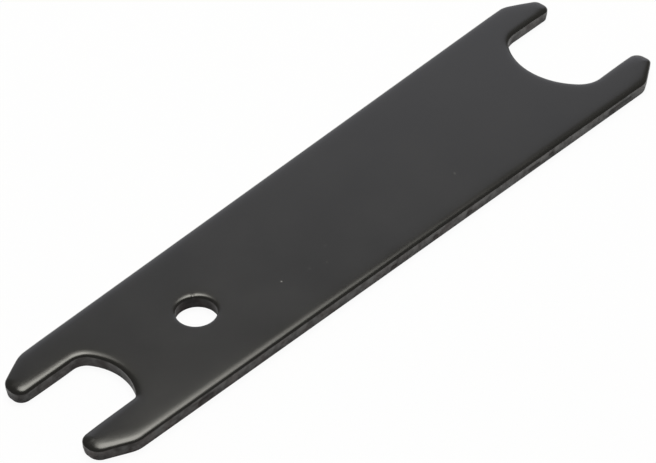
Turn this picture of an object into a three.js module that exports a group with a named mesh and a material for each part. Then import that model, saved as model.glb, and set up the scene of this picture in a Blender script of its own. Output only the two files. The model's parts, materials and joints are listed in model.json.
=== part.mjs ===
// Flat double open-end wrench, blanked from one piece of steel plate and finished black.
// Millimetres, +Z up. X runs along the wrench towards the large jaw. The origin is under the middle of the
// blank, on the face that the wrench lies on. The rounded, rolled edge is uppermost.
import * as THREE from "three";

// The blank
const LENGTH = 164.4; // from the tips of one jaw to the tips of the other
const THICKNESS = 3.2; // steel plate

// Large jaw, for 24 mm across flats
const LARGE_GAP = 24.2; // between the flats, with the clearance that a nut needs
const LARGE_DEPTH = 21.5; // from the tips to the bottom of the throat
const LARGE_WALL = 8.4; // beside the gap, at the shoulder
const LARGE_TIP_WALL = 4.2; // beside the gap, at the tip
const LARGE_SETBACK = 7.3; // from the tip back to the shoulder
const LARGE_THROAT_EXCESS = 3.1; // by which the throat's radius passes half the gap
const LARGE_THROAT_FILLET = 6.4; // between flat and throat
const LARGE_TIP_INNER_RADIUS = 2.2;
const LARGE_TIP_OUTER_RADIUS = 1.9;
const LARGE_SHOULDER_RADIUS = 5;

// Small jaw, for 16 mm across flats
const SMALL_GAP = 16.1;
const SMALL_DEPTH = 18.2;
const SMALL_WALL = 8.7;
const SMALL_TIP_WALL = 4.9;
const SMALL_SETBACK = 7.5;
const SMALL_THROAT_EXCESS = 3.9;
const SMALL_THROAT_FILLET = 3.5;
const SMALL_TIP_INNER_RADIUS = 2.3;
const SMALL_TIP_OUTER_RADIUS = 2.9;
const SMALL_SHOULDER_RADIUS = 6.5;

// Hanging hole, on the middle line
const HOLE_DIAMETER = 8.4;
const HOLE_FROM_TIP = 39; // from the small jaw's tips to the hole's middle

// Sheared edge: roll-over at the top, then the burnished land, then the fracture leaning in to the underside
const ROLL_WIDTH = 1.6; // the roll-over, measured in across the face
const ROLL_DEPTH = 0.8; // the roll-over, measured down the edge
const HOLE_RIM = 0.6; // the hole's own roll-over, as wide as it is deep
const LAND_SHARE = 0.5; // of the straight wall, taken by the land
const FRACTURE_LEAN = 0.2; // how far the fracture stands in at the underside
const DEBURR_RADIUS = 0.2; // along the underside

// Limits that keep a rounding inside the metal it rounds
const TIP_ROUND_SHARE = 0.95; // of a tip's end, for its two radii together
const ROLL_SHARE = 0.9; // of the smallest tip radius, for the roll-over

// Fineness of the facets
const ARC_STEP = THREE.MathUtils.degToRad(9);
const ROLL_STEPS = 6;
const DEBURR_STEPS = 2;
const SAME_PLACE = 0.001; // two points nearer than this are one point

const QUARTER_TURN = Math.PI / 2;

const largeJaw = {
  gap: LARGE_GAP,
  depth: LARGE_DEPTH,
  wall: LARGE_WALL,
  tipWall: LARGE_TIP_WALL,
  setback: LARGE_SETBACK,
  throatExcess: LARGE_THROAT_EXCESS,
  throatFillet: LARGE_THROAT_FILLET,
  tipInnerRadius: LARGE_TIP_INNER_RADIUS,
  tipOuterRadius: LARGE_TIP_OUTER_RADIUS,
  shoulderRadius: LARGE_SHOULDER_RADIUS,
};

const smallJaw = {
  gap: SMALL_GAP,
  depth: SMALL_DEPTH,
  wall: SMALL_WALL,
  tipWall: SMALL_TIP_WALL,
  setback: SMALL_SETBACK,
  throatExcess: SMALL_THROAT_EXCESS,
  throatFillet: SMALL_THROAT_FILLET,
  tipInnerRadius: SMALL_TIP_INNER_RADIUS,
  tipOuterRadius: SMALL_TIP_OUTER_RADIUS,
  shoulderRadius: SMALL_SHOULDER_RADIUS,
};

// A tip's inner and outer radius, both made smaller if the prong's end is too narrow for the two.
function tipRadii(jaw) {
  const chamferAngle = Math.atan2(jaw.wall - jaw.tipWall, jaw.setback);
  const outerReach = jaw.tipOuterRadius * Math.tan((QUARTER_TURN - chamferAngle) / 2);
  const shrink = Math.min(1, (TIP_ROUND_SHARE * jaw.tipWall) / (jaw.tipInnerRadius + outerReach));
  return { inner: jaw.tipInnerRadius * shrink, outer: jaw.tipOuterRadius * shrink };
}

// The shoulder on the right of a jaw that points along +X.
function rightShoulder(jaw) {
  return new THREE.Vector2(LENGTH / 2 - jaw.setback, -jaw.gap / 2 - jaw.wall);
}

// An arc is a centre, a radius, the angle it starts at and the signed angle it sweeps. A positive sweep
// turns left. This one rounds the corner met on the way from one point to another.
function cornerArc(fromPoint, corner, toPoint, radius) {
  const back = fromPoint.clone().sub(corner).normalize();
  const ahead = toPoint.clone().sub(corner).normalize();
  const halfAngle = Math.acos(back.dot(ahead)) / 2;
  const bisector = back.clone().add(ahead).normalize();
  const center = corner.clone().addScaledVector(bisector, radius / Math.sin(halfAngle));
  const start = corner.clone().addScaledVector(back, radius / Math.tan(halfAngle));
  const sweep = Math.sign(ahead.cross(back)) * (Math.PI - 2 * halfAngle);
  return { center, radius, from: start.sub(center).angle(), sweep };
}

// The same arcs across the middle line, in the order that carries the outline on.
function mirrored(arcs) {
  const reflect = ({ center, radius, from, sweep }) => ({
    center: new THREE.Vector2(center.x, -center.y),
    radius,
    from: -from - sweep,
    sweep,
  });
  return arcs.map(reflect).reverse();
}

// The same arcs, turned half a turn about the blank's middle.
function turnedRound(arcs) {
  return arcs.map(({ center, radius, from, sweep }) => ({
    center: center.clone().negate(),
    radius,
    from: from + Math.PI,
    sweep,
  }));
}

// The arcs round a jaw that points along +X, from its right shoulder to its left one.
// The straight flats, chamfers and sides are whatever joins one arc to the next.
function jawArcs(jaw, otherJaw) {
  const tipX = LENGTH / 2;
  const halfGap = jaw.gap / 2;
  const sideStart = rightShoulder(otherJaw);
  sideStart.x = -sideStart.x;
  const shoulder = rightShoulder(jaw);
  const tipOuter = new THREE.Vector2(tipX, -halfGap - jaw.tipWall);
  const tipInner = new THREE.Vector2(tipX, -halfGap);
  const flatEnd = new THREE.Vector2(tipX - jaw.depth, -halfGap);
  const radii = tipRadii(jaw);

  // The throat's arc is centred on the middle line. Its fillet touches the flat and the throat's arc.
  const throatRadius = halfGap + jaw.throatExcess;
  const filletRadius = Math.min(jaw.throatFillet, halfGap);
  const throatCenter = new THREE.Vector2(tipX - jaw.depth + throatRadius, 0);
  const filletAside = halfGap - filletRadius;
  const filletBack = Math.sqrt((throatRadius - filletRadius) ** 2 - filletAside ** 2);
  const filletCenter = new THREE.Vector2(throatCenter.x - filletBack, -filletAside);
  const filletSweep = QUARTER_TURN - Math.atan2(filletAside, filletBack);

  const prong = [
    cornerArc(sideStart, shoulder, tipOuter, jaw.shoulderRadius),
    cornerArc(shoulder, tipOuter, tipInner, radii.outer),
    cornerArc(tipOuter, tipInner, flatEnd, radii.inner),
    { center: filletCenter, radius: filletRadius, from: -QUARTER_TURN, sweep: -filletSweep },
  ];
  const throat = {
    center: throatCenter,
    radius: throatRadius,
    from: -QUARTER_TURN - filletSweep,
    sweep: -2 * (QUARTER_TURN - filletSweep),
  };
  return [...prong, throat, ...mirrored(prong)];
}

// Points along an arc, each with the direction into the metal, which lies to the left of the way round.
function arcStations({ center, radius, from, sweep }) {
  const steps = Math.ceil(Math.abs(sweep) / ARC_STEP);
  return Array.from({ length: steps + 1 }, (_, step) => {
    const angle = from + (sweep * step) / steps;
    const outFromCenter = new THREE.Vector2(Math.cos(angle), Math.sin(angle));
    const point = center.clone().addScaledVector(outFromCenter, radius);
    const inward = outFromCenter.multiplyScalar(-Math.sign(sweep));
    return { point, inward };
  });
}

// A closed run of arcs as stations, with one station where two arcs touch.
function loopStations(arcs) {
  const stations = arcs.flatMap(arcStations);
  return stations.filter(({ point }, index) => point.distanceTo(stations.at(index - 1).point) > SAME_PLACE);
}

// The edge's section, from the underside to the top face: x is how far it stands in, y is the height.
function edgeSection(rollWidth, rollDepth) {
  const rollBottom = THICKNESS - rollDepth;
  const landBottom = rollBottom - LAND_SHARE * (rollBottom - DEBURR_RADIUS);
  const section = [];
  for (let step = 0; step <= DEBURR_STEPS; step += 1) {
    const angle = (QUARTER_TURN * step) / DEBURR_STEPS;
    const inset = FRACTURE_LEAN + DEBURR_RADIUS * (1 - Math.sin(angle));
    section.push(new THREE.Vector2(inset, DEBURR_RADIUS * (1 - Math.cos(angle))));
  }
  section.push(new THREE.Vector2(0, landBottom));
  for (let step = 0; step <= ROLL_STEPS; step += 1) {
    const angle = (QUARTER_TURN * step) / ROLL_STEPS;
    const inset = rollWidth * (1 - Math.cos(angle));
    section.push(new THREE.Vector2(inset, rollBottom + rollDepth * Math.sin(angle)));
  }
  return section;
}

// The section carried round a loop: one ring of points for each point of the section, underside first.
function carryRound(stations, section) {
  return section.map(({ x: inset, y: height }) =>
    stations.map(({ point, inward }) => {
      const place = point.clone().addScaledVector(inward, inset);
      return new THREE.Vector3(place.x, place.y, height);
    }),
  );
}

// One closed solid: the rings of every loop joined into walls, and a flat face across the ends of the rings.
function plateGeometry(loops) {
  const points = [];
  const triangles = [];
  const undersideRings = [];
  const topRings = [];

  for (const rings of loops) {
    const numbered = rings.map((ring) => ring.map((point) => points.push(point) - 1));
    for (let level = 1; level < numbered.length; level += 1) {
      const lower = numbered[level - 1];
      const upper = numbered[level];
      for (let here = 0; here < lower.length; here += 1) {
        const next = (here + 1) % lower.length;
        triangles.push([lower[here], lower[next], upper[next]]);
        triangles.push([lower[here], upper[next], upper[here]]);
      }
    }
    undersideRings.push(numbered.at(0));
    topRings.push(numbered.at(-1));
  }

  // The first ring is the outside, and the rest are holes in it.
  const fillAcross = ([outside, ...holes], facesUp) => {
    const flatten = (ring) => ring.map((index) => new THREE.Vector2(points[index].x, points[index].y));
    const corners = [outside, ...holes].flat();
    for (const face of THREE.ShapeUtils.triangulateShape(flatten(outside), holes.map(flatten))) {
      const triangle = face.map((index) => corners[index]);
      const turnsLeft = THREE.ShapeUtils.area(flatten(triangle)) > 0;
      triangles.push(turnsLeft === facesUp ? triangle : triangle.reverse());
    }
  };
  fillAcross(undersideRings, false);
  fillAcross(topRings, true);

  const geometry = new THREE.BufferGeometry().setFromPoints(points);
  geometry.setIndex(triangles.flat());
  geometry.computeVertexNormals();
  return geometry;
}

const outline = loopStations([...jawArcs(largeJaw, smallJaw), ...turnedRound(jawArcs(smallJaw, largeJaw))]);
const hangingHole = loopStations([
  { center: new THREE.Vector2(HOLE_FROM_TIP - LENGTH / 2, 0), radius: HOLE_DIAMETER / 2, from: 0, sweep: -2 * Math.PI },
]);

const allTipRadii = [largeJaw, smallJaw].map(tipRadii).flatMap(({ inner, outer }) => [inner, outer]);
const rollWidth = Math.min(ROLL_WIDTH, ROLL_SHARE * Math.min(...allTipRadii));

const blackFinish = new THREE.MeshStandardMaterial({ color: 0x2a2a2b, roughness: 0.5, metalness: 0.2 });
const body = new THREE.Mesh(
  plateGeometry([
    carryRound(outline, edgeSection(rollWidth, ROLL_DEPTH)),
    carryRound(hangingHole, edgeSection(HOLE_RIM, HOLE_RIM)),
  ]),
  blackFinish,
);
body.name = "wrench_body";

const wrench = new THREE.Group();
wrench.name = "open_end_wrench";
wrench.add(body);

export default wrench;
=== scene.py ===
# %% [markdown]
# # A flat open-end wrench in satin black
#
# The object is one stamping: a tapered steel plate with an open jaw at each end and a hanging hole,
# finished black all over. There is nothing to assemble, so all of its character is in three places: the
# outline, the sheared edge that the press leaves behind, and the finish. The lesson takes them in that
# order.

# %% Load the fixed frame
import json
import math
from dataclasses import dataclass

import bpy
import numpy as np
from mathutils import Matrix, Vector
from mathutils.geometry import delaunay_2d_cdt

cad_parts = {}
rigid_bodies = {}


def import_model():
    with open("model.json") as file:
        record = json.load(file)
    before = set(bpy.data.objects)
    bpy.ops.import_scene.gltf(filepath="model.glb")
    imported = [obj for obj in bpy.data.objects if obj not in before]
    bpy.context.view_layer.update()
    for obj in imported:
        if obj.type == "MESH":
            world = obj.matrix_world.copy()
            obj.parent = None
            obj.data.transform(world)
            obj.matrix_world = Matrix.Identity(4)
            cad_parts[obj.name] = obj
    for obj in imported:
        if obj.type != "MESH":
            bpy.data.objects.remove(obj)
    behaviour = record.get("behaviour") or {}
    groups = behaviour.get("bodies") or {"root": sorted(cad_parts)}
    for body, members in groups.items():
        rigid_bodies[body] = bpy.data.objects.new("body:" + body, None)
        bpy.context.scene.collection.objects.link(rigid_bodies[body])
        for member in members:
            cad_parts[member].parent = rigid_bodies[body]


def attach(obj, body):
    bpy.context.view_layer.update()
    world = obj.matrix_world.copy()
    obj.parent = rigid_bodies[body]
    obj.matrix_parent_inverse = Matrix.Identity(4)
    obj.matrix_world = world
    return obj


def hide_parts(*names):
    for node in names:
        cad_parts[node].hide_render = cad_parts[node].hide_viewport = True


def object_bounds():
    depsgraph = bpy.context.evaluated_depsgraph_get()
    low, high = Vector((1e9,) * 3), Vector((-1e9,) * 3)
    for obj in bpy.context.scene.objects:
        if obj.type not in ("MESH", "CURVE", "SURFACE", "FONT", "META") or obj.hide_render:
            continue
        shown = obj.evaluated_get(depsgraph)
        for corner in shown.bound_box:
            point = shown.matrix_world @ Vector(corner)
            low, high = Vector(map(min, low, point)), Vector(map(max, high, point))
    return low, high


MM = 0.001

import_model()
cad_low, cad_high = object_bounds()
LENGTH = cad_high.x - cad_low.x
THICKNESS = cad_high.z - cad_low.z
print(f"frame: {LENGTH / MM:.1f} mm long, {THICKNESS / MM:.1f} mm thick")

# %% [markdown]
# ## The camera
#
# A camera can be placed by eye, but the outline of a flat part holds enough corners to solve for it: the
# two jaws and the hole fix the direction, the taper fixes the perspective. The solved camera is a long
# lens half a metre away, looking down at the small jaw. It is written here as the direction it looks in
# and as where the middle of the wrench sits in its own axes, because those are the numbers that such a
# fit gives.

# %% Place the camera
IMAGE_WIDTH = 656
SENSOR_WIDTH_MM = 36.0
FOCAL_PIXELS = 2347.6
VIEW_TURN = math.radians(46.56)  # from +Y round towards +X
VIEW_DROP = math.radians(41.78)  # below the horizon
VIEW_ROLL = math.radians(0.52)
MIDDLE_RIGHT = 3.66 * MM
MIDDLE_DOWN = -3.15 * MM
MIDDLE_AHEAD = 486.5 * MM


def view_axes(turn, drop, roll):
    """The camera's right, down and ahead.

    Ahead comes from the two angles, right lies level with the floor, and both are then rolled.
    """
    ahead = np.array([math.sin(turn) * math.cos(drop), math.cos(turn) * math.cos(drop), -math.sin(drop)])
    level_right = np.array([math.cos(turn), -math.sin(turn), 0.0])
    level_down = np.cross(ahead, level_right)
    right = math.cos(roll) * level_right + math.sin(roll) * level_down
    down = math.cos(roll) * level_down - math.sin(roll) * level_right
    return right, down, ahead


view_right, view_down, view_ahead = view_axes(VIEW_TURN, VIEW_DROP, VIEW_ROLL)
camera_place = -(view_right * MIDDLE_RIGHT + view_down * MIDDLE_DOWN + view_ahead * MIDDLE_AHEAD)
camera_data = bpy.data.cameras.new("view")
camera_data.sensor_width = SENSOR_WIDTH_MM
camera_data.lens = FOCAL_PIXELS / IMAGE_WIDTH * SENSOR_WIDTH_MM
camera = bpy.data.objects.new("view", camera_data)
camera_axes = np.column_stack([view_right, -view_down, -view_ahead, camera_place])
camera.matrix_world = Matrix(np.vstack([camera_axes, [0, 0, 0, 1]]).tolist())
bpy.context.scene.collection.objects.link(camera)
bpy.context.scene.camera = camera
print("camera at", (camera_place / MM).round(0), "mm, lens", round(camera_data.lens, 1), "mm")

# %% [markdown]
# ## The outline
#
# The die that cuts such a blank is drawn with straight lines and arcs that run into each other without a
# corner. An outline could be traced as many points, but then no single size could be changed. Here each
# jaw is eleven sizes, the arcs follow from them, and the lines are whatever joins one arc to the next.
# The second jaw is the same recipe turned half a turn. A throat has two fillets because one corner of the
# small jaw is almost sharp.

# %% Sizes of the two jaws


@dataclass
class Jaw:
    """One open jaw, with its right and left as seen along the way it points.

    Widths are measured across the wrench, and lengths along it from the tips.
    """

    gap: float
    depth: float
    wall: float
    tip_wall: float
    setback: float
    throat_excess: float
    right_fillet: float
    left_fillet: float
    tip_inner: float
    tip_outer: float
    shoulder: float


LARGE_JAW = Jaw(
    gap=24.2 * MM,
    depth=21.5 * MM,
    wall=8.4 * MM,
    tip_wall=4.2 * MM,
    setback=7.3 * MM,
    throat_excess=3.1 * MM,
    right_fillet=6.4 * MM,
    left_fillet=6.4 * MM,
    tip_inner=2.2 * MM,
    tip_outer=1.9 * MM,
    shoulder=5.0 * MM,
)
SMALL_JAW = Jaw(
    gap=16.1 * MM,
    depth=18.2 * MM,
    wall=8.7 * MM,
    tip_wall=4.9 * MM,
    setback=7.5 * MM,
    throat_excess=3.9 * MM,
    right_fillet=3.5 * MM,
    left_fillet=1.3 * MM,
    tip_inner=2.3 * MM,
    tip_outer=2.9 * MM,
    shoulder=6.5 * MM,
)
HOLE_RADIUS = 4.2 * MM
HOLE_FROM_TIP = 39.0 * MM
QUARTER_TURN = math.pi / 2


def corner_arc(before, corner, after, radius):
    """The arc that rounds a corner: centre x and y, radius, first angle and signed sweep.

    The centre lies on the bisector, radius / sin(half the corner's angle) from the corner, and the arc starts
    where the first side is radius / tan(half) from it. It sweeps what the corner lacks of half a turn.
    """
    back = (before - corner) / np.linalg.norm(before - corner)
    onward = (after - corner) / np.linalg.norm(after - corner)
    half = math.acos(back @ onward) / 2
    bisector = (back + onward) / np.linalg.norm(back + onward)
    center = corner + bisector * radius / math.sin(half)
    start = corner + back * radius / math.tan(half) - center
    return np.array([*center, radius, math.atan2(start[1], start[0]), math.pi - 2 * half])


def prong_arcs(jaw, other, fillet):
    """The four arcs of a right-hand prong that points along +X, and how far its throat fillet sweeps.

    The fillet touches the flat and the throat's arc, so its centre is one fillet inside the flat and
    (throat radius - fillet) from the throat's centre, which lies on the middle line.
    """
    tip = LENGTH / 2
    half_gap = jaw.gap / 2
    side_start = np.array([other.setback - tip, -other.gap / 2 - other.wall])
    shoulder = np.array([tip - jaw.setback, -half_gap - jaw.wall])
    tip_outer = np.array([tip, -half_gap - jaw.tip_wall])
    tip_inner = np.array([tip, -half_gap])
    flat_end = np.array([tip - jaw.depth, -half_gap])

    throat_radius = half_gap + jaw.throat_excess
    throat_x = tip - jaw.depth + throat_radius
    aside = half_gap - fillet
    behind = math.sqrt((throat_radius - fillet) ** 2 - aside**2)
    fillet_sweep = QUARTER_TURN - math.atan2(aside, behind)
    arcs = np.array([
        corner_arc(side_start, shoulder, tip_outer, jaw.shoulder),
        corner_arc(shoulder, tip_outer, tip_inner, jaw.tip_outer),
        corner_arc(tip_outer, tip_inner, flat_end, jaw.tip_inner),
        [throat_x - behind, -aside, fillet, -QUARTER_TURN, -fillet_sweep],
    ])
    return arcs, fillet_sweep


def jaw_arcs(jaw, other):
    """The nine arcs of a jaw that points along +X, from its right shoulder to its left one.

    The throat is an arc centred on the middle line. It sweeps half a turn less what the two fillets sweep.
    """
    right, right_sweep = prong_arcs(jaw, other, jaw.right_fillet)
    left, left_sweep = prong_arcs(jaw, other, jaw.left_fillet)
    throat_radius = jaw.gap / 2 + jaw.throat_excess
    throat_x = LENGTH / 2 - jaw.depth + throat_radius
    throat_sweep = right_sweep + left_sweep - math.pi
    throat = np.array([[throat_x, 0, throat_radius, -QUARTER_TURN - right_sweep, throat_sweep]])
    mirrored = left[::-1] * [1, -1, 1, -1, 1]
    mirrored[:, 3] -= mirrored[:, 4]
    return np.vstack([right, throat, mirrored])


small_turned = jaw_arcs(SMALL_JAW, LARGE_JAW) * [-1, -1, 1, 1, 1] + [0, 0, 0, math.pi, 0]
outline_arcs = np.vstack([jaw_arcs(LARGE_JAW, SMALL_JAW), small_turned])
hole_x = HOLE_FROM_TIP - LENGTH / 2
hole_arcs = np.array([[hole_x, 0, HOLE_RADIUS, 0, -2 * math.pi]])
print(len(outline_arcs), "arcs in the outline")

# %% [markdown]
# A die maker's cutter runs along such an outline at an even pace. The walk below does the same: it stops
# every quarter of a millimetre, more often where an arc is tight, and notes at each stop which way the
# metal lies and how sharply the outline bends. Everything about the edge is hung on these stops later.

# %% Walk along the outline
STEP = 0.25 * MM
TURN_STEP = math.radians(4)


@dataclass
class Path:
    """Stations round a closed loop: where they are, the way into the metal, and the loop's bend."""

    points: np.ndarray
    inward: np.ndarray
    bend: np.ndarray
    step: np.ndarray
    distance: np.ndarray
    total: float


def arc_points(arc, share):
    """Points and the direction into the metal at shares of an arc.

    A point is the centre plus radius along (cos, sin) of the angle. The metal lies left of the way round.
    """
    angle = arc[3] + arc[4] * share
    spoke = np.column_stack([np.cos(angle), np.sin(angle)])
    return arc[:2] + arc[2] * spoke, -np.sign(arc[4]) * spoke


def walk(arcs):
    """Stations round a closed run of arcs, at even steps along each arc and each line.

    Between two arcs the point slides along the straight line from the end of one to the start of the
    next. The bend is 1 / radius, positive where the metal bulges and negative where it is hollow.
    """
    points, inward, bend = [], [], []
    for arc, after in zip(arcs, np.roll(arcs, -1, axis=0)):
        count = math.ceil(max(arc[2] * abs(arc[4]) / STEP, abs(arc[4]) / TURN_STEP))
        on_arc, in_arc = arc_points(arc, np.arange(count) / count)
        line_start, line_inward = arc_points(arc, np.ones(1))
        line_end, _ = arc_points(after, np.zeros(1))
        line_count = math.ceil(np.linalg.norm(line_end - line_start) / STEP - 1e-6)
        share = np.arange(line_count)[:, None] / max(line_count, 1)
        points += [on_arc, line_start + share * (line_end - line_start)]
        inward += [in_arc, np.repeat(line_inward, line_count, axis=0)]
        bend += [np.full(count, np.sign(arc[4]) / arc[2]), np.zeros(line_count)]
    points = np.concatenate(points)
    step = np.linalg.norm(np.roll(points, -1, axis=0) - points, axis=1)
    distance = np.cumsum(step) - step
    return Path(points, np.concatenate(inward), np.concatenate(bend), step, distance, step.sum())


outline = walk(outline_arcs)
hole = walk(hole_arcs)
print(f"outline: {len(outline.points)} stations over {outline.total / MM:.0f} mm, hole: {len(hole.points)}")

# %% [markdown]
# ## The sheared edge
#
# A press doesn't cut plate as a saw does. The punch first drags the top of the edge down into a soft
# roll-over, then shears a smooth burnished land, and at last the metal tears: the lower part of the wall
# is a rough fracture that leans in to the underside. A Bevel modifier would round the edge evenly and
# lose all that. So the section is written down as it is and carried along the outline.
#
# The roll-over isn't the same all round. Along the sides it fades over about half a millimetre, a little
# further at the small end, and in the hollow of a throat it is shorter. The tip of a prong has metal on
# one side only, so its whole top droops: an even slope of a dozen degrees, about two millimetres wide,
# with a smaller roll-over at the end of it. All of that follows the bend of the outline, smoothed over a
# few millimetres, because metal can't change its form faster. One flat of the small jaw sank deeper and
# came out almost square below.

# %% How far the roll-over reaches
ROLL_REACH = 0.49 * MM  # the drop falls to about a third over this distance
ROLL_TAPER = 0.08 * MM  # more at the small end and less at the large one
ROLL_DEPTH = 0.42 * MM
THROAT_LOSS = 0.15
THROAT_BEND = 1 / (12 * MM)
TIP_BEND = 1 / (2.5 * MM)
TIP_REACH_LOSS = 0.3
TIP_DEPTH_LOSS = 0.28
TIP_UNEVENNESS = 0.17  # the tips on the left roll over deeper, and those on the right slope more
LEFT_DROOP = math.tan(math.radians(11.0))
RIGHT_DROOP = math.tan(math.radians(14.0))
DROOP_WIDTH = 1.9 * MM  # how far in from the edge a tip slopes
DROOP_FADE = 0.42 * MM
BEND_SMOOTHING = 2.2 * MM
SQUARE_FADE = 1.5 * MM
SQUARE_DEPTH_GAIN = 0.3
ON_FLAT = 0.01 * MM  # how near to a flat's line a station counts as on it


def smooth_round(values, path, spread):
    """The average of the values round the loop, weighted by a bell curve of the distance between stations."""
    apart = np.abs(path.distance[:, None] - path.distance)
    apart = np.minimum(apart, path.total - apart)
    weight = np.exp(-0.5 * (apart / spread) ** 2) * path.step
    return weight @ values / weight.sum(axis=1)


smooth_bend = smooth_round(outline.bend, outline, BEND_SMOOTHING)
tip_share = np.clip(smooth_bend / TIP_BEND, 0, 1)
throat_share = np.clip(-smooth_bend / THROAT_BEND, 0, 1)
on_flat = np.abs(outline.points[:, 1] - SMALL_JAW.gap / 2) < ON_FLAT
on_square_flat = on_flat & (outline.points[:, 0] < SMALL_JAW.depth - LENGTH / 2)
square_share = smooth_round(on_square_flat.astype(float), outline, SQUARE_FADE)
side_reach = ROLL_REACH - ROLL_TAPER * outline.points[:, 0] / (LENGTH / 2)
roll_reach = side_reach * (1 - TIP_REACH_LOSS * tip_share - THROAT_LOSS * throat_share)
tip_loss = TIP_DEPTH_LOSS - TIP_UNEVENNESS * np.sign(outline.points[:, 1])
roll_depth = ROLL_DEPTH * (1 - tip_loss * tip_share + SQUARE_DEPTH_GAIN * square_share)
tip_droop = np.where(outline.points[:, 1] > 0, LEFT_DROOP, RIGHT_DROOP)
outline_roll = (roll_reach, roll_depth, tip_droop * tip_share)
print(f"roll reach {roll_reach.min() / MM:.2f} to {roll_reach.max() / MM:.2f} mm")

# %% [markdown]
# The hanging hole is pierced by a punch of its own. Its rim rolled over most on one side, as it does when
# the punch stands a little off the middle of its die, and at one place a nick cuts through the rolled
# rim: there the wall goes straight up to the face. So the depth of the roll goes round the hole as a
# cosine, and the nick takes it away in a narrow bell curve.

# %% How the hole's rim rolled over
HOLE_REACH = (0.14 * MM, 0.37 * MM)
HOLE_DEPTH = (0.12 * MM, 0.42 * MM)
HOLE_DEEP_SIDE = math.radians(45)
HOLE_NARROWING = 1.5  # more than 1 keeps the deep part of the rim short
NICK_ANGLE = math.radians(54.5)
NICK_WIDTH = 0.2 * MM
NICK_LOSS = 0.92
hole_angle = np.arctan2(hole.points[:, 1], hole.points[:, 0] - hole_x)
deep_share = ((1 + np.cos(hole_angle - HOLE_DEEP_SIDE)) / 2) ** HOLE_NARROWING
nick = NICK_LOSS * np.exp(-0.5 * ((hole_angle - NICK_ANGLE) * HOLE_RADIUS / NICK_WIDTH) ** 2)
hole_reach = HOLE_REACH[0] + (HOLE_REACH[1] - HOLE_REACH[0]) * deep_share
hole_depth = (HOLE_DEPTH[0] + (HOLE_DEPTH[1] - HOLE_DEPTH[0]) * deep_share) * (1 - nick)
hole_roll = (hole_reach, hole_depth, 0 * hole_reach)
print(f"hole rim {hole_depth.min() / MM:.2f} to {hole_depth.max() / MM:.2f} mm deep")

# %% [markdown]
# The tear starts at a height that wanders along the edge, and here and there the metal tears early and
# leaves a pocket under the land. A few sums of waves that fit the loop a whole number of times give a
# line that wanders and still closes on itself. Its phases and the fracture's roughness come from chance,
# with a fixed seed. The clearest pockets are placed one by one along the right-hand side.

# %% Where the metal tears
TEAR_HEIGHT = 1.5 * MM
TEAR_WANDER = 0.15 * MM
TEAR_WAVES = (2.5 * MM, 40 * MM, 24)  # the shortest, the longest, and how many
HOLE_TEAR_WAVES = (2 * MM, 12 * MM, 6)
POCKET_END = 0.15 * MM
POCKET_DEPTH = 0.22 * MM
chance = np.random.default_rng(7)


def wander(path, shortest, longest, wave_count):
    """A sum of cosines round the loop with whole numbers of waves and random phases, about -1 to 1."""
    waves = chance.integers(round(path.total / longest), round(path.total / shortest) + 1, wave_count)
    phase = chance.uniform(0, 2 * math.pi, wave_count)
    turn = 2 * math.pi * path.distance[:, None] * waves / path.total + phase
    return np.cos(turn).sum(axis=1) / math.sqrt(wave_count)


def along_right_side(x):
    """The distance walked to the station on the right-hand long side that is nearest to x."""
    right = np.where(outline.points[:, 1] < -SMALL_JAW.gap / 2 - SMALL_JAW.tip_wall, 0, LENGTH)
    return outline.distance[np.argmin(np.abs(outline.points[:, 0] - x) + right)]


def pocket(path, start, end):
    """1 between two distances and 0 elsewhere, with ends as steep as a tanh step."""
    rise = np.tanh((path.distance - start) / POCKET_END)
    fall = np.tanh((path.distance - end) / POCKET_END)
    return (rise - fall) / 2


# Each pocket: where it starts and ends along the wrench, and the height of its upper lip.
RIGHT_POCKETS = np.array([
    [62.3, 70.0, 2.05],
    [42.3, 43.8, 1.95],
    [35.6, 39.4, 1.75],
    [16.4, 18.2, 1.85],
    [6.0, 7.6, 1.8],
    [-6.5, -4.6, 1.75],
    [-59.4, -55.4, 2.1],
]) * MM
tear_height = TEAR_HEIGHT + TEAR_WANDER * wander(outline, *TEAR_WAVES)
pocket_share = np.zeros(len(outline.points))
for start, end, lip in RIGHT_POCKETS:
    share = pocket(outline, along_right_side(start), along_right_side(end))
    tear_height = tear_height + (lip - tear_height) * share
    pocket_share = np.maximum(pocket_share, share)
hole_tear = TEAR_HEIGHT + TEAR_WANDER * wander(hole, *HOLE_TEAR_WAVES)

# The fracture stands in at the underside, except along one flat of the small jaw, which is almost square.
FRACTURE_LEAN = 0.2 * MM
SQUARE_LEAN = 0.04 * MM
lean = FRACTURE_LEAN + (SQUARE_LEAN - FRACTURE_LEAN) * square_share
hole_lean = np.full(len(hole.points), FRACTURE_LEAN)
print(f"tear height {tear_height.min() / MM:.2f} to {tear_height.max() / MM:.2f} mm")

# %% [markdown]
# Now the section itself, from the underside up: a deburred corner, the fracture, the land, a tight little
# arc where the punch broke in, and the roll-over that fades into the face. A row of points along the
# section, repeated at every stop of the walk, makes the whole edge one grid. The grid also remembers
# which points were sheared and which were torn, because the coat will look different there, and which
# lie in a pocket, where painted shade turns the coat's reflection down.

# %% The edge's section
BREAK_RADIUS = 0.14 * MM
ROLL_END = 1.75 * MM  # the last ring of the edge, just short of the smallest tip radius
DISH_REACH = 1.4 * MM
DISH_SLOPE = 0.025
FRACTURE_STEP = 0.03 * MM
FRACTURE_ROUGHNESS = 0.012 * MM
DEBURR_RADIUS = 0.2 * MM
UNDER_MARGIN = 0.1 * MM
FADE_CROWDING = 1.5  # more than 1 sets the rings closer at the break
LIP_SHARE = 0.1  # the part of the fracture under which a pocket reaches its depth
LAND_TORN = 0.3  # a land is never quite smooth
SHEARED_FROM = 0.5  # the angle up the deburred corner where the wall begins
TORN_SHARES = (0.12, 0.25, 0.4, 0.55, 0.7, 0.8, 0.9, 1.0)  # heights on the fracture, closer under the land


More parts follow.
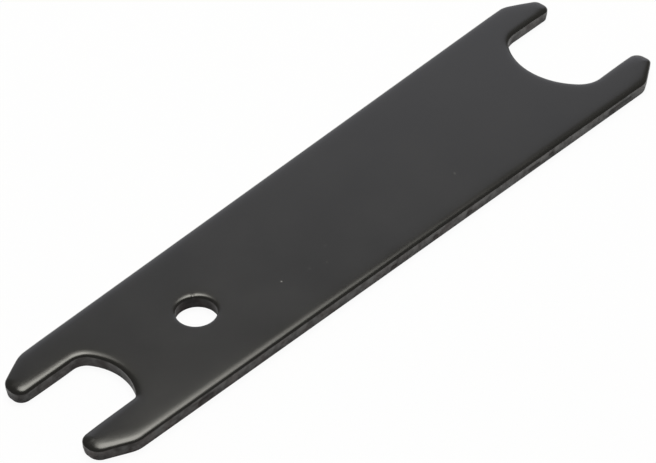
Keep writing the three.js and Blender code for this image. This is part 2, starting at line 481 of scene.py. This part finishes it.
def roll_drop(from_break, reach, depth, droop):
    """How far the top has sunk at a distance from the break, the sum of three curves.

    The roll-over is depth times e^(-distance / reach). A drooping tip adds an even slope that ends softly at
    its width: droop times fade times ln(1 + e^((width - distance) / fade)). A slight dishing fades slowly.
    """
    roll = depth * np.exp(-from_break / reach)
    hang = droop * DROOP_FADE * np.log1p(np.exp((DROOP_WIDTH - from_break) / DROOP_FADE))
    return roll + hang + DISH_REACH * DISH_SLOPE * np.exp(-from_break / DISH_REACH)


def break_slope(reach, depth, droop):
    """The angle at which the roll-over meets the break: the three curves' steepness there, added up."""
    return np.arctan(depth / reach + droop + DISH_SLOPE)


def edge_grid(path, roll, lean, tear, pockets, roll_end):
    """The section carried along a path: a grid of points, and how sheared, torn and hollow each is.

    Each point is the path's point plus inset times the inward direction, at a height. The section starts
    with a quarter circle at the underside. Then come a leaning fracture with a step under the land, a plumb
    land, a small arc at the break, and the roll-over's fading curve. The step rises over a small part of the
    fracture and fades to the bottom.
    """
    count = len(path.points)
    row = np.ones((count, 1))
    reach, depth, droop = (values[:, None] for values in roll)
    lean, tear, pockets = lean[:, None], tear[:, None], pockets[:, None]
    deburr = np.linspace(0, QUARTER_TURN, 5)
    torn = np.array(TORN_SHARES)
    land = np.linspace(0, 1, 6)[1:]
    turn = np.linspace(0, 1, 6)[1:]
    fade = np.linspace(0, 1, 15)[1:] ** FADE_CROWDING
    slope = break_slope(reach, depth, droop)
    break_turn = turn * (QUARTER_TURN - slope)
    break_inset = BREAK_RADIUS * (1 - np.sin(slope))
    from_break = fade * (roll_end - break_inset)
    land_top = THICKNESS - roll_drop(0, reach, depth, droop) - BREAK_RADIUS * np.cos(slope)
    rough = chance.normal(0, FRACTURE_ROUGHNESS, (count, len(torn))) * (1 - torn)
    under_lip = np.minimum((1 - torn) / LIP_SHARE, torn / (1 - LIP_SHARE))
    under_step = (FRACTURE_STEP + (POCKET_DEPTH - FRACTURE_STEP) * pockets) * under_lip

    inset = np.hstack([
        lean + DEBURR_RADIUS + UNDER_MARGIN,
        lean + DEBURR_RADIUS * (1 - np.sin(deburr)),
        lean * (1 - torn) + under_step + rough,
        row * (0 * land),
        BREAK_RADIUS * (1 - np.cos(break_turn)),
        break_inset + from_break,
    ])
    height = np.hstack([
        row * 0,
        row * (DEBURR_RADIUS * (1 - np.cos(deburr))),
        DEBURR_RADIUS + (tear - DEBURR_RADIUS) * torn,
        tear + (land_top - tear) * land,
        land_top + BREAK_RADIUS * np.sin(break_turn),
        THICKNESS - roll_drop(from_break, reach, depth, droop),
    ])
    on_wall = deburr > SHEARED_FROM
    sheared_share = np.concatenate([[0], on_wall, 0 * torn + 1, 0 * land + 1, 1 - turn, 0 * fade])
    torn_land = LAND_TORN + (1 - LAND_TORN) * (1 - land) ** 2
    torn_share = np.concatenate([[0], on_wall, 0 * torn + 1, torn_land, 0 * turn, 0 * fade])
    under_count, over_count = 1 + len(deburr), len(land) + len(turn) + len(fade)
    # painted shade: in a pocket, a share that is largest just under the lip; it turns the coat's reflection
    # down there
    hollow = np.hstack([row * np.zeros(under_count), pockets * under_lip, row * np.zeros(over_count)])
    place = path.points[:, None, :] + path.inward[:, None, :] * inset[:, :, None]
    return np.dstack([place, height]), row * sheared_share, row * torn_share, hollow


HOLE_ROLL_END = 1.2 * MM
# painted shade: the whole wall of the hole takes this share, which turns its reflection down
HOLE_PAINTED_SHADE = 0.7  # little light reaches the wall of a hole
outline_grid, outline_sheared, outline_torn, outline_painted_shade = edge_grid(
    outline, outline_roll, lean, tear_height, pocket_share, ROLL_END
)
hole_grid, hole_sheared, hole_torn, _ = edge_grid(
    hole, hole_roll, hole_lean, hole_tear, 0 * hole_tear, HOLE_ROLL_END
)
hole_painted_shade = HOLE_PAINTED_SHADE * hole_sheared
print("edge grid:", outline_grid.shape, "hole grid:", hole_grid.shape)

# %% [markdown]
# ## The two faces
#
# A flat face with a hole in it has no natural grid of rows and columns. It is filled with triangles
# between the last ring of the edge and the last ring of the hole. A lattice of points inside keeps the
# triangles from becoming needles, and on the top each point sinks by what is left of the roll-over at its
# distance from the edge.

# %% Fill the faces
TOP_LATTICE = 1.0 * MM
UNDER_LATTICE = 3.0 * MM
LATTICE_ROW = 0.866  # rows of even triangles stand closer than the points in them


def inside(points, ring):
    """True where a ray along +X from the point crosses the ring an odd number of times."""
    start, end = ring, np.roll(ring, -1, axis=0)
    x, y = points[:, 0:1], points[:, 1:2]
    spans = (start[:, 1] > y) != (end[:, 1] > y)
    rise = np.where(spans, end[:, 1] - start[:, 1], 1)
    crossing = start[:, 0] + (y - start[:, 1]) * (end[:, 0] - start[:, 0]) / rise
    return np.sum(spans & (x < crossing), axis=1) % 2 == 1


def nearest_station(points, path):
    """The distance from each point to its nearest station, and that station's number."""
    apart = np.linalg.norm(points[:, None] - path.points, axis=2)
    return apart.min(axis=1), apart.argmin(axis=1)


def lattice_points(ring, hole_ring, spacing):
    """A triangular lattice, every second row moved by half a step, kept where it lies clear in the metal."""
    low, high = ring.min(axis=0), ring.max(axis=0)
    columns = np.arange(low[0], high[0], spacing)
    rows = np.arange(low[1], high[1], spacing * LATTICE_ROW)
    column, line = np.meshgrid(columns, rows)
    column = column + (np.arange(len(line)) % 2)[:, None] * spacing / 2
    points = np.column_stack([column.ravel(), line.ravel()])
    edge = np.vstack([ring, hole_ring])
    nearest = np.linalg.norm(points[:, None] - edge, axis=2).min(axis=1)
    keep = inside(points, ring) & ~inside(points, hole_ring) & (nearest > spacing / 2)
    return points[keep]


def ring_edges(first, count):
    """Pairs of neighbouring numbers round a closed ring."""
    here = first + np.arange(count)
    return np.column_stack([here, first + (np.arange(count) + 1) % count])


def fill_face(ring, hole_ring, spacing):
    """Triangles between two rings of points, with the lattice points that they use."""
    extra = lattice_points(ring, hole_ring, spacing)
    corners = np.vstack([ring, hole_ring, extra])
    edges = np.vstack([ring_edges(0, len(ring)), ring_edges(len(ring), len(hole_ring))])
    filled = delaunay_2d_cdt(corners.tolist(), edges.tolist(), [], 1, 1e-9)
    triangles = np.array(filled[2])
    middle = corners[triangles].mean(axis=1)
    keep = inside(middle, ring) & ~inside(middle, hole_ring)
    return extra, triangles[keep]


top_extra, top_triangles = fill_face(outline_grid[:, -1, :2], hole_grid[:, -1, :2], TOP_LATTICE)
under_extra, under_triangles = fill_face(outline_grid[:, 0, :2], hole_grid[:, 0, :2], UNDER_LATTICE)
edge_distance, edge_station = nearest_station(top_extra, outline)
hole_distance, hole_station = nearest_station(top_extra, hole)
sunk = roll_drop(edge_distance, *(values[edge_station] for values in outline_roll))
sunk = sunk + roll_drop(hole_distance, *(values[hole_station] for values in hole_roll))
print(len(top_triangles), "triangles on top,", len(under_triangles), "below")

# %% [markdown]
# The grids and the faces share their rings of points, so putting them into one mesh closes it without
# welding. The real wrench is one piece of steel, and this surface is one closed skin that stands in for
# that piece.

# %% Put the body together


def wall_quads(grid, first):
    """Quads between neighbouring stations and neighbouring points of the section, facing out of the metal."""
    stations, levels = grid.shape[:2]
    number = first + np.arange(stations * levels).reshape(stations, levels)
    after = np.roll(number, -1, axis=0)
    return np.stack([number[:, :-1], after[:, :-1], after[:, 1:], number[:, 1:]], axis=-1).reshape(-1, 4)


def face_numbers(level, first_extra, extra_count):
    """Vertex numbers in the order of fill_face: the outline's ring, the hole's ring, then the lattice."""
    stations, levels = outline_grid.shape[:2]
    hole_first = stations * levels
    return np.concatenate([
        np.arange(stations) * levels + level,
        hole_first + np.arange(len(hole_grid)) * levels + level,
        first_extra + np.arange(extra_count),
    ])


levels = outline_grid.shape[1]
wall_count = (len(outline_grid) + len(hole_grid)) * levels
top_numbers = face_numbers(levels - 1, wall_count, len(top_extra))
under_numbers = face_numbers(0, wall_count + len(top_extra), len(under_extra))
vertices = np.vstack([
    outline_grid.reshape(-1, 3),
    hole_grid.reshape(-1, 3),
    np.column_stack([top_extra, THICKNESS - sunk]),
    np.column_stack([under_extra, np.zeros(len(under_extra))]),
])
quads = np.vstack([wall_quads(outline_grid, 0), wall_quads(hole_grid, len(outline_grid) * levels)])
triangles = np.vstack([top_numbers[top_triangles], under_numbers[under_triangles][:, ::-1]])

body_mesh = bpy.data.meshes.new("wrench_body_surface")
body_mesh.from_pydata(vertices.tolist(), [], quads.tolist() + triangles.tolist())
body_mesh.shade_smooth()
on_faces = np.zeros(len(top_extra) + len(under_extra))
# the hollow layer carries painted shade for the pockets and the hole's wall
edge_layers = {
    "sheared": (outline_sheared, hole_sheared),
    "torn": (outline_torn, hole_torn),
    "hollow": (outline_painted_shade, hole_painted_shade),
}
for name, (on_outline, on_hole) in edge_layers.items():
    layer = body_mesh.attributes.new(name, "FLOAT", "POINT")
    values = np.concatenate([on_outline.ravel(), on_hole.ravel(), on_faces])
    layer.data.foreach_set("value", values.astype(np.float32))
body = bpy.data.objects.new("wrench_body_surface", body_mesh)
bpy.context.scene.collection.objects.link(body)
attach(body, "root")
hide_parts("wrench_body")
print(f"body: {len(vertices)} vertices, {len(quads) * 2 + len(triangles)} triangles")

# %% [markdown]
# ## The black coat
#
# The steel is under a thin black coat with a satin sheen. Black paint on a metal shader would reflect
# like a dark mirror, and this doesn't: it reflects like varnish, a few percent head-on and more at a
# slant. So it is a plain dielectric with an almost black colour, and the light that shows the form is
# nearly all reflection. What keeps it from looking like a drawing is small: the tone and the sheen drift
# a little from place to place, the surface has a faint orange peel, and a few specks of dust lie on it.

# %% Start the coat
coat = bpy.data.materials.new("black_finish")
coat.use_nodes = True
body_mesh.materials.append(coat)
coat_shader = coat.node_tree.nodes["Principled BSDF"]


def put(material, kind, settings, inputs):
    """A new node in a material, with its settings and the values of its inputs."""
    node = material.node_tree.nodes.new(kind)
    for name, value in settings.items():
        setattr(node, name, value)
    for name, value in inputs.items():
        node.inputs[name].default_value = value
    return node


def join(material, output, target):
    """A link from an output socket to an input socket."""
    material.node_tree.links.new(output, target)


def noise(material, size, detail):
    """A noise over the piece's own coordinates. Its scale is 1 / size, so a blob is about one size wide."""
    place = put(material, "ShaderNodeTexCoord", {}, {})
    pattern = put(material, "ShaderNodeTexNoise", {}, {"Scale": 1 / size, "Detail": detail})
    join(material, place.outputs["Object"], pattern.inputs["Vector"])
    return pattern.outputs["Fac"]


def between(material, share, low, high, low_in=0.3, high_in=0.7):
    """A number that goes from low to high as the share goes from low_in to high_in."""
    span = {"From Min": low_in, "From Max": high_in, "To Min": low, "To Max": high}
    ramp = put(material, "ShaderNodeMapRange", {}, span)
    join(material, share, ramp.inputs["Value"])
    return ramp.outputs["Result"]


def mixed(material, share, first, second):
    """A mix of two numbers, each a socket or a plain value, by a share from 0 to 1."""
    blend = put(material, "ShaderNodeMix", {"data_type": "FLOAT"}, {})
    join(material, share, blend.inputs[0])
    for socket, value in [(blend.inputs[2], first), (blend.inputs[3], second)]:
        if isinstance(value, (int, float)):
            socket.default_value = value
        else:
            join(material, value, socket)
    return blend.outputs[0]


def mixed_colour(material, share, first, second):
    """A mix of two colours, each a socket or a plain colour, by a share from 0 to 1."""
    blend = put(material, "ShaderNodeMix", {"data_type": "RGBA"}, {})
    join(material, share, blend.inputs[0])
    for socket, value in [(blend.inputs[6], first), (blend.inputs[7], second)]:
        if isinstance(value, tuple):
            socket.default_value = (*value, 1)
        else:
            join(material, value, socket)
    return blend.outputs[2]


def product(material, first, second):
    """One number times another."""
    times = put(material, "ShaderNodeMath", {"operation": "MULTIPLY"}, {})
    join(material, first, times.inputs[0])
    join(material, second, times.inputs[1])
    return times.outputs[0]


def layer_share(material, name):
    """The number that the mesh holds at each vertex under this name."""
    return put(material, "ShaderNodeAttribute", {"attribute_name": name}, {}).outputs["Fac"]


CLOUD_SIZE = 14 * MM
sheared = layer_share(coat, "sheared")
torn_wall = layer_share(coat, "torn")
# painted shade: the hollow layer, which turns the reflection down in pockets and in the hole
painted_shade_wall = layer_share(coat, "hollow")
clouds = noise(coat, CLOUD_SIZE, 3)
print("coat:", len(coat.node_tree.nodes), "nodes so far")

# %% [markdown]
# A black that was one even number would look like a hole in the picture. The face drifts between two near
# blacks in clouds of about a centimetre, the sheared walls go brownish in places where the coat is thin
# over torn steel, and a few grains of dust catch the light.

# %% Colour of the coat
DEEP_BLACK = (0.0136, 0.0134, 0.0128)
GREY_BLACK = (0.0156, 0.0153, 0.0147)
BROWN_BLACK = (0.028, 0.018, 0.0165)
DUST_GREY = (0.3, 0.3, 0.29)
STAIN_SIZE = 3 * MM
# Each speck: where it lies along and across the wrench, and its radius.
DUST_SPECKS = np.array([
    [-25.7, -6.4, 0.17],
    [22.8, -10.0, 0.12],
    [-12.0, -5.5, 0.09],
    [-15.4, -9.1, 0.08],
    [-19.2, -7.9, 0.08],
]) * MM


def dust(material):
    """1 on the specks and 0 elsewhere: the largest of (distance < radius) over all specks."""
    place = put(material, "ShaderNodeTexCoord", {}, {}).outputs["Object"]
    found = None
    for x, y, radius in DUST_SPECKS.tolist():
        apart = put(material, "ShaderNodeVectorMath", {"operation": "DISTANCE"}, {1: (x, y, THICKNESS)})
        near = put(material, "ShaderNodeMath", {"operation": "LESS_THAN"}, {1: radius})
        join(material, place, apart.inputs[0])
        join(material, apart.outputs["Value"], near.inputs[0])
        if found is None:
            found = near.outputs[0]
        else:
            most = put(material, "ShaderNodeMath", {"operation": "MAXIMUM"}, {})
            join(material, found, most.inputs[0])
            join(material, near.outputs[0], most.inputs[1])
            found = most.outputs[0]
    return found


specks = dust(coat)
face_colour = mixed_colour(coat, between(coat, clouds, 0.0, 1.0), DEEP_BLACK, GREY_BLACK)
stain = between(coat, noise(coat, STAIN_SIZE, 3), 0.0, 1.0)
stained = mixed_colour(coat, stain, GREY_BLACK, BROWN_BLACK)
wall_colour = mixed_colour(coat, sheared, face_colour, stained)
join(coat, mixed_colour(coat, specks, wall_colour, DUST_GREY), coat_shader.inputs["Base Color"])
print("dust specks:", len(DUST_SPECKS))

# %% [markdown]
# The sheen decides how the lamp shows. The coat lies smooth on the rolled face, is duller on the
# burnished land and nearly matt on the fracture. The walls look straight at the white table and mirror it
# in patches: the shine of the wall is uneven on a scale of a millimetre or two. Painted shade and light
# make it grow towards the large jaw, and painted shade turns it right down in a pocket and in the hole.

# %% Sheen of the coat
FACE_SHEEN = (0.18, 0.22)
LAND_SHEEN = 0.28
TORN_SHEEN = 0.55
FACE_REFLECTION = 0.5  # where a plain varnish stands on the shader's scale
WALL_REFLECTION = (0.3, 0.78)
MOTTLE_SIZE = 1.6 * MM
MOTTLE_SPAN = (0.38, 0.62)  # the part of the noise's range that goes from dull to shiny
# painted shade and light: the walls' reflection is turned down towards the small jaw and up towards the large
# one
SMALL_END_PAINTED_SHADE = 0.82  # the walls shine less towards the small jaw
LARGE_END_PAINTED_LIGHT = 1.25
# painted shade: the reflection left in a pocket and on the hole's wall
PAINTED_SHADE_REFLECTION = 0.1
face_sheen = between(coat, clouds, *FACE_SHEEN)
wall_sheen = mixed(coat, sheared, face_sheen, LAND_SHEEN)
join(coat, mixed(coat, torn_wall, wall_sheen, TORN_SHEEN), coat_shader.inputs["Roughness"])
mottled = between(coat, noise(coat, MOTTLE_SIZE, 4), *WALL_REFLECTION, *MOTTLE_SPAN)
own_place = put(coat, "ShaderNodeTexCoord", {}, {})
split = put(coat, "ShaderNodeSeparateXYZ", {}, {})
join(coat, own_place.outputs["Object"], split.inputs["Vector"])
# painted shade and light along the wrench: the walls' reflection grows from the small jaw to the large one
along = between(coat, split.outputs["X"], SMALL_END_PAINTED_SHADE, LARGE_END_PAINTED_LIGHT, -LENGTH / 2, LENGTH / 2)
wall_reflection = mixed(coat, sheared, FACE_REFLECTION, product(coat, mottled, along))
# painted shade: the hollow layer brings the reflection down to the low value in pockets and in the hole
reflection = mixed(coat, painted_shade_wall, wall_reflection, PAINTED_SHADE_REFLECTION)
join(coat, reflection, coat_shader.inputs["Specular IOR Level"])
print("coat:", len(coat.node_tree.nodes), "nodes with its sheen")

# %% [markdown]
# A sprayed or dipped coat has a faint orange peel, and fine grain on top of it. Both are far too low to
# model as points, a thousandth or two of a millimetre, so they only tilt the surface for the light. The
# fracture's grain is some fifteen times as high, and it fades up the land as the tearing does.

# %% Grain of the coat
PEEL_HEIGHT = 0.002 * MM
GRAIN_HEIGHT = 0.0008 * MM
TORN_HEIGHT = 0.035 * MM
PEEL_SIZE = 2.2 * MM
GRAIN_SIZE = 0.45 * MM
TORN_SIZE = 0.35 * MM
peel_bump = put(coat, "ShaderNodeBump", {}, {"Distance": PEEL_HEIGHT})
join(coat, noise(coat, PEEL_SIZE, 1), peel_bump.inputs["Height"])
grain_bump = put(coat, "ShaderNodeBump", {}, {"Distance": GRAIN_HEIGHT})
join(coat, noise(coat, GRAIN_SIZE, 2), grain_bump.inputs["Height"])
join(coat, peel_bump.outputs["Normal"], grain_bump.inputs["Normal"])
torn_bump = put(coat, "ShaderNodeBump", {}, {"Distance": TORN_HEIGHT})
join(coat, torn_wall, torn_bump.inputs["Strength"])
join(coat, noise(coat, TORN_SIZE, 3), torn_bump.inputs["Height"])
join(coat, grain_bump.outputs["Normal"], torn_bump.inputs["Normal"])
join(coat, torn_bump.outputs["Normal"], coat_shader.inputs["Normal"])
print("coat:", len(coat.node_tree.nodes), "nodes")

# %% [markdown]
# ## The white table
#
# The wrench lies on a white table that runs out of the picture on all sides, with low white screens far
# off. To the camera it is nearly plain white and only a little of it is lit as paper, so the shadow under
# the edge stays soft and narrow. In mirror images half of it is plain white and half is lit as paper.

# %% The white table
TABLE_HALF = 6.0
TABLE_GAP = 0.03 * MM
SCREEN_HEIGHT = 1.2
PAPER_WHITE = (0.93, 0.945, 0.98)
PAPER_ROUGHNESS = 0.9
SEEN_WHITENESS = 0.94
MIRRORED_WHITENESS = 0.5
around = np.array([[-1, -1], [1, -1], [1, 1], [-1, 1]]) * TABLE_HALF
table_corners = np.column_stack([around, np.full(4, -TABLE_GAP)])
screen_corners = np.column_stack([around, np.full(4, SCREEN_HEIGHT)])
screens = [(0, 4, 5, 1), (1, 5, 6, 2), (2, 6, 7, 3), (3, 7, 4, 0)]
floor_mesh = bpy.data.meshes.new("floor")
floor_corners = np.vstack([table_corners, screen_corners])
floor_mesh.from_pydata(floor_corners.tolist(), [], [(0, 1, 2, 3), *screens])
floor = bpy.data.objects.new("floor", floor_mesh)
bpy.context.scene.collection.objects.link(floor)

paper = bpy.data.materials.new("white_table")
paper.use_nodes = True
matt = paper.node_tree.nodes["Principled BSDF"]
matt.inputs["Base Color"].default_value = (*PAPER_WHITE, 1)
matt.inputs["Roughness"].default_value = PAPER_ROUGHNESS
matt.inputs["Specular IOR Level"].default_value = 0.0
glow = put(paper, "ShaderNodeEmission", {}, {})
rays = put(paper, "ShaderNodeLightPath", {}, {})
mirrored = put(paper, "ShaderNodeMath", {"operation": "ADD"}, {})
join(paper, rays.outputs["Is Glossy Ray"], mirrored.inputs[0])
join(paper, rays.outputs["Is Transmission Ray"], mirrored.inputs[1])
mirrored_share = put(paper, "ShaderNodeMath", {"operation": "MULTIPLY"}, {1: MIRRORED_WHITENESS})
join(paper, mirrored.outputs[0], mirrored_share.inputs[0])
seen_share = put(paper, "ShaderNodeMath", {"operation": "MULTIPLY_ADD"}, {1: SEEN_WHITENESS})
join(paper, rays.outputs["Is Camera Ray"], seen_share.inputs[0])
join(paper, mirrored_share.outputs[0], seen_share.inputs[2])
blend = put(paper, "ShaderNodeMixShader", {}, {})
join(paper, seen_share.outputs[0], blend.inputs["Fac"])
join(paper, matt.outputs["BSDF"], blend.inputs[1])
join(paper, glow.outputs["Emission"], blend.inputs[2])
join(paper, blend.outputs["Shader"], paper.node_tree.nodes["Material Output"].inputs["Surface"])
floor_mesh.materials.append(paper)
print("table:", 2 * TABLE_HALF, "m wide")

# %% [markdown]
# ## The light
#
# A black varnished thing is seen by what it mirrors. The room is dim and slightly warm, which keeps the
# tips of the prongs dark where they slope towards the camera. Opposite the camera, low above the far edge
# of the table, stands a pale card with soft edges: the flat face mirrors it, and that is what makes the
# face grey instead of black, more so towards the large jaw.

# %% The room
ROOM_LIGHT = (0.19, 0.186, 0.17)
CARD_LIGHT = (0.91, 0.92, 1.0)
CARD_DIRECTION = (0.676, 0.691, 0.255)
CARD_EDGE = {"From Min": 0.82, "From Max": 0.94}  # cosines of the angle off its middle
world = bpy.data.worlds.new("studio")
world.use_nodes = True
direction = put(world, "ShaderNodeTexCoord", {}, {})
towards = put(world, "ShaderNodeVectorMath", {"operation": "DOT_PRODUCT"}, {1: CARD_DIRECTION})
join(world, direction.outputs["Generated"], towards.inputs[0])
card_share = put(world, "ShaderNodeMapRange", {"interpolation_type": "SMOOTHSTEP"}, CARD_EDGE)
join(world, towards.outputs["Value"], card_share.inputs["Value"])
room_light = mixed_colour(world, card_share.outputs["Result"], ROOM_LIGHT, CARD_LIGHT)
join(world, room_light, world.node_tree.nodes["Background"].inputs["Color"])
bpy.context.scene.world = world
print("world:", len(world.node_tree.nodes), "nodes")

# %% [markdown]
# One lamp hangs almost overhead. The rolled edges on the near side mirror it as a bright line, so its
# size sets the width of the line and its warmth the colour. A lamp with a hard rim would draw a hard
# line. Two ovals, a bright core in a wider, weaker one, let it fade.

# %% The lamps
CORE_PLACE = np.array([0.18, 0.16, 0.97])
CORE_SIZE = (0.5, 0.52)
CORE_RADIANCE = 5.5
HALO_PLACE = np.array([0.21, 0.17, 0.96])
HALO_SIZE = (0.74, 0.8)
HALO_RADIANCE = 3.2
WARM_WHITE = (1.0, 0.98, 0.9)


def softbox(name, place, size, radiance):
    """An oval area lamp that faces the origin. Its power is radiance times area times pi."""
    width, height = size
    data = bpy.data.lights.new(name, "AREA")
    data.shape = "ELLIPSE"
    data.size = width
    data.size_y = height
    data.color = WARM_WHITE
    data.energy = radiance * (math.pi / 4 * width * height) * math.pi
    lamp = bpy.data.objects.new(name, data)
    back = place / np.linalg.norm(place)
    side = np.cross([0, 1, 0], back)
    side = side / np.linalg.norm(side)
    up = np.cross(back, side)
    axes = np.column_stack([side, up, back, place])
    lamp.matrix_world = Matrix(np.vstack([axes, [0, 0, 0, 1]]).tolist())
    bpy.context.scene.collection.objects.link(lamp)


softbox("key_core", CORE_PLACE, CORE_SIZE, CORE_RADIANCE)
softbox("key_halo", HALO_PLACE, HALO_SIZE, HALO_RADIANCE)
bpy.context.scene.view_settings.view_transform = "Standard"
print("lamps:", len(bpy.data.lights))
